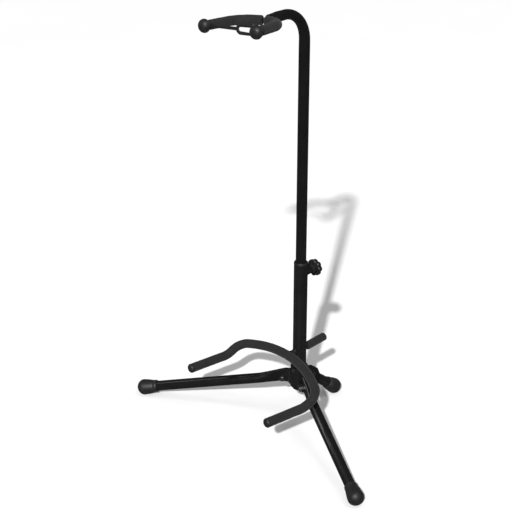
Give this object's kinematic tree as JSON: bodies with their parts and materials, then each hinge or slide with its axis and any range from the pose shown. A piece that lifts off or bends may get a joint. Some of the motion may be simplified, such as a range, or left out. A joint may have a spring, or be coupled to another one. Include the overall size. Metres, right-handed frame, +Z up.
{
  "type": "guitar stand",
  "caption": "Tubular guitar stand: folding tripod with round feet, telescopic mast with clamp knob, padded lower cradle, rear peg, and gooseneck with a padded neck yoke and strap.",
  "frame": {"origin": "on the mast's axis at floor level", "axes": "+Z up along the mast; the gooseneck and the two long legs face -Y; the left leg is on -X and the right leg on +X as the stand faces -Y"},
  "size_m": [0.5496, 0.316, 0.7969],
  "materials": {
    "tube_paint": "semi-gloss black powder coat",
    "foam": "matt black foam rubber with a fine skin",
    "black_rubber": "satin moulded black rubber",
    "black_plastic": "matt moulded black plastic",
    "black_steel": "black oxide fasteners"
  },
  "bodies": {
    "base": {"lower_tube": "tube_paint", "top_bushing": "black_plastic", "mast_plug": "black_plastic", "knob_boss": "tube_paint", "hub": "tube_paint", "hub_screws": "black_steel", "cradle_rod": "tube_paint", "cradle_foam": "foam", "cradle_stay": "tube_paint", "cradle_cap_left": "black_rubber", "cradle_cap_right": "black_rubber", "rear_peg": "tube_paint", "peg_foam": "foam", "peg_cap": "black_rubber", "pivot_bolt_left": "black_steel", "pivot_bolt_right": "black_steel", "pivot_bolt_rear": "black_steel", "pivot_washer_left": "black_steel", "pivot_washer_right": "black_steel", "pivot_washer_rear": "black_steel", "pivot_nut_left": "black_steel", "pivot_nut_right": "black_steel", "pivot_nut_rear": "black_steel"},
    "leg_left": {"leg_left": "tube_paint", "foot_left": "black_rubber"},
    "leg_right": {"leg_right": "tube_paint", "foot_right": "black_rubber"},
    "leg_rear": {"leg_rear": "tube_paint", "foot_rear": "black_rubber"},
    "glide": {"glide_plug": "black_plastic"},
    "neck": {"upper_tube": "tube_paint", "yoke_plug": "tube_paint", "yoke_rod": "tube_paint", "yoke_foam_left": "foam", "yoke_foam_right": "foam", "yoke_ball_left": "black_rubber", "yoke_ball_right": "black_rubber"},
    "strap": {"neck_strap": "black_rubber"},
    "pad": {"clamp_pad": "black_rubber"},
    "knob": {"knob": "black_plastic", "knob_screw": "black_steel"}
  },
  "joints": [
    {"name": "leg_left_fold", "type": "hinge", "parent": "base", "child": "leg_left", "pos_m": [-0.02728, -0.01575, 0.071], "axis": [0.5, -0.866, 0], "range_deg": [0, 77]},
    {"name": "leg_right_fold", "type": "hinge", "parent": "base", "child": "leg_right", "pos_m": [0.02728, -0.01575, 0.071], "axis": [0.5, 0.866, 0], "range_deg": [0, 77]},
    {"name": "leg_rear_fold", "type": "hinge", "parent": "base", "child": "leg_rear", "pos_m": [0, 0.0315, 0.071], "axis": [-1, 0, 0], "range_deg": [0, 51]},
    {"name": "height_slide", "type": "slide", "parent": "base", "child": "glide", "axis": [0, 0, 1], "range_m": [-0.075, 0.09]},
    {"name": "neck_swivel", "type": "hinge", "parent": "glide", "child": "neck", "pos_m": [0, 0, 0.15], "axis": [0, 0, 1], "continuous": true},
    {"name": "knob_travel", "type": "slide", "parent": "base", "child": "pad", "axis": [0, 1, 0], "range_m": [0, 0.003]},
    {"name": "knob_turn", "type": "hinge", "parent": "pad", "child": "knob", "pos_m": [0, 0.03, 0.29], "axis": [0, 1, 0], "range_deg": [0, 1080]},
    {"name": "strap_swing", "type": "hinge", "parent": "neck", "child": "strap", "pos_m": [-0.04182, -0.18221, 0.77796], "axis": [0.0119, 0.9975, -0.0696], "range_deg": [0, 180], "deforming": ["neck_strap"]}
  ],
  "couplings": [
    {"joint": "knob_travel", "follows": "knob_turn", "m_per_rad": 0.00015915}
  ]
}
